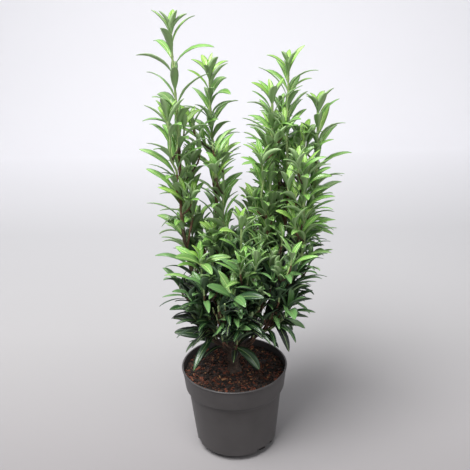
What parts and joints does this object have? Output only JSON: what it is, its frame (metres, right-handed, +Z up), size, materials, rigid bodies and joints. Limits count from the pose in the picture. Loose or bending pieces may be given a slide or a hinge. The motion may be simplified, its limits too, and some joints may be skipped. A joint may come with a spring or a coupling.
{
  "type": "potted cherry laurel shrub",
  "caption": "Young evergreen shrub in a round grey nursery pot: upright shoots set with long narrow glossy leaves, bright at their tips and dark below, over bark mulch.",
  "frame": {"origin": "centre of the pot's flat underside, at the level of what it stands on", "axes": "+Z up along the pot's axis, +X to the right and -Y to the front, as the plant is seen from its front"},
  "size_m": [0.2986, 0.2539, 0.6627],
  "materials": {
    "pot_plastic": "satin",
    "bark_mulch": "rough",
    "bark": "rough",
    "leaves": "semi-gloss"
  },
  "bodies": {
    "root": {"pot": "pot_plastic", "soil": "bark_mulch", "trunk": "bark", "bough_tall_left": "bark", "bough_left_low": "bark", "bough_back_left": "bark", "bough_centre": "bark", "bough_back_right": "bark", "bough_inner_right": "bark", "bough_far_right": "bark", "bough_front_right": "bark", "bough_front_centre": "bark", "bough_front_left": "bark", "bough_front_low": "bark", "bough_back_low": "bark", "foliage_tall_left": "leaves", "foliage_left_low": "leaves", "foliage_back_left": "leaves", "foliage_centre": "leaves", "foliage_back_right": "leaves", "foliage_inner_right": "leaves", "foliage_far_right": "leaves", "foliage_front_right": "leaves", "foliage_front_centre": "leaves", "foliage_front_left": "leaves", "foliage_front_low": "leaves", "foliage_back_low": "leaves"}
  },
  "joints": []
}
